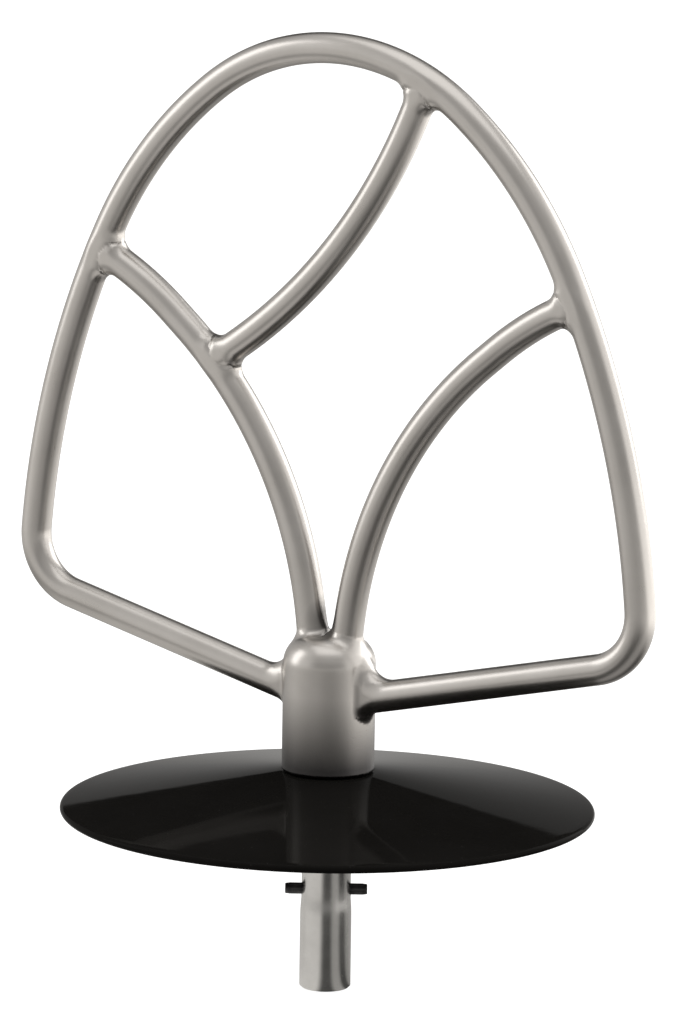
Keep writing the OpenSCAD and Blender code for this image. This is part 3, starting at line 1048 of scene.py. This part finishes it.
def camera_shares(tree, place):
    """Sockets for how far a place lies towards the camera, and how far to its right, both on the level."""
    way = camera_way()
    level = Vector((way.x, way.y, 0)).normalized()
    return [
        add_node(tree, "ShaderNodeVectorMath", {0: place, 1: axis}, operation="DOT_PRODUCT").outputs["Value"]
        for axis in (level, Vector((-level.y, level.x, 0)))
    ]


def build_camera():
    """The camera, at the photograph's viewing angle."""
    back = camera_way()
    right = Vector((0, 0, 1)).cross(back).normalized()
    right = Matrix.Rotation(math.radians(CAMERA_ROLL), 3, back) @ right
    turn = Matrix((right, back.cross(right), back)).transposed()
    camera = bpy.data.objects.new("camera", bpy.data.cameras.new("camera"))
    bpy.context.scene.collection.objects.link(camera)
    camera.matrix_world = Matrix.Translation(Vector(CAMERA_LOOKS_AT) + back * CAMERA_AWAY) @ turn.to_4x4()
    camera.data.lens = CAMERA_LENS
    camera.data.sensor_width = 36
    camera.data.clip_start = 0.05
    camera.data.clip_end = 60
    bpy.context.scene.camera = camera


def build_floor(material):
    """A large plain floor, a hair under the tip of the shank."""
    height = CAD_BOUNDS[0][2] - FLOOR_GAP
    row = FLOOR_CELLS + 1
    steps = np.linspace(-FLOOR_HALF, FLOOR_HALF, row)
    vertices = [(x, y, height) for x in steps for y in steps]
    corners = [i * row + j for i in range(FLOOR_CELLS) for j in range(FLOOR_CELLS)]
    faces = [(c, c + row, c + row + 1, c + 1) for c in corners]
    mesh = bpy.data.meshes.new("floor")
    mesh.from_pydata(vertices, [], faces)
    mesh.materials.append(material)
    floor = bpy.data.objects.new("floor", mesh)
    bpy.context.scene.collection.objects.link(floor)


def soft_box(name, turn, rise, away, width, height, power):
    """A rectangular soft box, turned from the camera's direction and risen from level, facing the object."""
    a, e = math.radians(CAMERA_TURN + turn), math.radians(rise)
    way = Vector((math.sin(a) * math.cos(e), -math.cos(a) * math.cos(e), math.sin(e)))
    light = bpy.data.lights.new(name, "AREA")
    light.shape = "RECTANGLE"
    light.size = width
    light.size_y = height
    light.energy = power
    obj = bpy.data.objects.new(name, light)
    middle = Vector((0, 0, (CAD_BOUNDS[0][2] + CAD_BOUNDS[1][2]) / 2))
    facing = way.to_track_quat("Z", "Y").to_matrix().to_4x4()
    obj.matrix_world = Matrix.Translation(middle + way * away) @ facing
    bpy.context.scene.collection.objects.link(obj)


def build_world():
    """Studio surroundings: white to the camera, and in reflections a grey room that is brighter overhead and
    at the sides, with a dark opening behind the set and a dim patch round the camera.
    """
    world = bpy.data.worlds.new("studio")
    world.use_nodes = True
    tree = world.node_tree
    tree.nodes.clear()

    def ramp(value, low, high, to_low, to_high):
        inputs = {"Value": value, "From Min": low, "From Max": high, "To Min": to_low, "To Max": to_high}
        return add_node(tree, "ShaderNodeMapRange", inputs, interpolation_type="SMOOTHSTEP").outputs[0]

    def maths(operation, *values):
        return add_node(tree, "ShaderNodeMath", dict(enumerate(values)), operation=operation).outputs[0]

    # each share below is of a direction: how far it points up, to the camera, and to the camera's right
    place = add_node(tree, "ShaderNodeTexCoord").outputs["Generated"]
    up = add_node(tree, "ShaderNodeSeparateXYZ", {0: place}).outputs[2]
    facing, aside = camera_shares(tree, place)
    even = maths("ABSOLUTE", aside)
    # the opening behind the set: its width, its slanting lower edge over a pale sweep, and its top
    brink = ramp(aside, -0.06, 0.075, 0.222, 0.35)
    rear = maths("MULTIPLY", ramp(facing, -0.75, -0.6, 1.0, 0.0), ramp(even, 0.3, 0.4, 1.0, 0.0))
    rear = maths("MULTIPLY", rear, ramp(maths("SUBTRACT", up, brink), -0.006, 0.006, 0.0, 1.0))
    rear = maths("MULTIPLY", rear, ramp(up, 0.6, 0.72, 1.0, 0.0))
    # the patch round the camera, which takes a quarter of the light away
    front = maths("MULTIPLY", ramp(facing, 0.6, 0.72, 0.0, 1.0), ramp(up, 0.3, 0.42, 1.0, 0.0))
    dimmed = maths("SUBTRACT", 1.0, maths("MULTIPLY", front, 0.25))
    shutter = maths("MULTIPLY", maths("SUBTRACT", 1.0, rear), dimmed)
    # the room itself, and the little light that even the opening gives
    overhead = ramp(up, 0.55, 0.9, 0.0, 0.2)
    sides = maths("ADD", ramp(even, 0.45, 0.9, 0.0, 0.35), ramp(aside, 0.45, 0.9, 0.0, 0.5))
    fill = maths("ADD", maths("ADD", ramp(facing, -0.9, 0.9, 0.48, 0.54), overhead), sides)
    glow = maths("ADD", maths("MULTIPLY", fill, shutter), 0.012)
    seen = maths("MAXIMUM", glow, add_node(tree, "ShaderNodeLightPath").outputs["Is Camera Ray"])
    warm_white = colour(1.0, 0.985, 0.965)
    background = add_node(tree, "ShaderNodeBackground", {"Color": warm_white, "Strength": seen})
    add_node(tree, "ShaderNodeOutputWorld", {0: background.outputs[0]})
    bpy.context.scene.world = world


def build_lights():
    """Soft boxes overhead and at the sides."""
    soft_box("top_box", 0, 86, 1.6, 1.6, 1.6, 6)
    soft_box("left_box", -98, 20, 1.7, 0.7, 1.3, 5)
    soft_box("right_box", 122, 22, 1.9, 1.3, 1.3, 10)


# ---------------------------------------------------------------- the scene

build_beater(satin_steel())
build_shank(turned_steel())
build_pin(black_pin_steel())
build_shield(gloss_black())
build_bush(acetal())
FASTENER = fastener_steel()
build_washer(FASTENER)
build_nut(FASTENER)
build_floor(floor_paper())
build_world()
build_lights()
build_camera()
bpy.context.scene.view_settings.view_transform = "Standard"
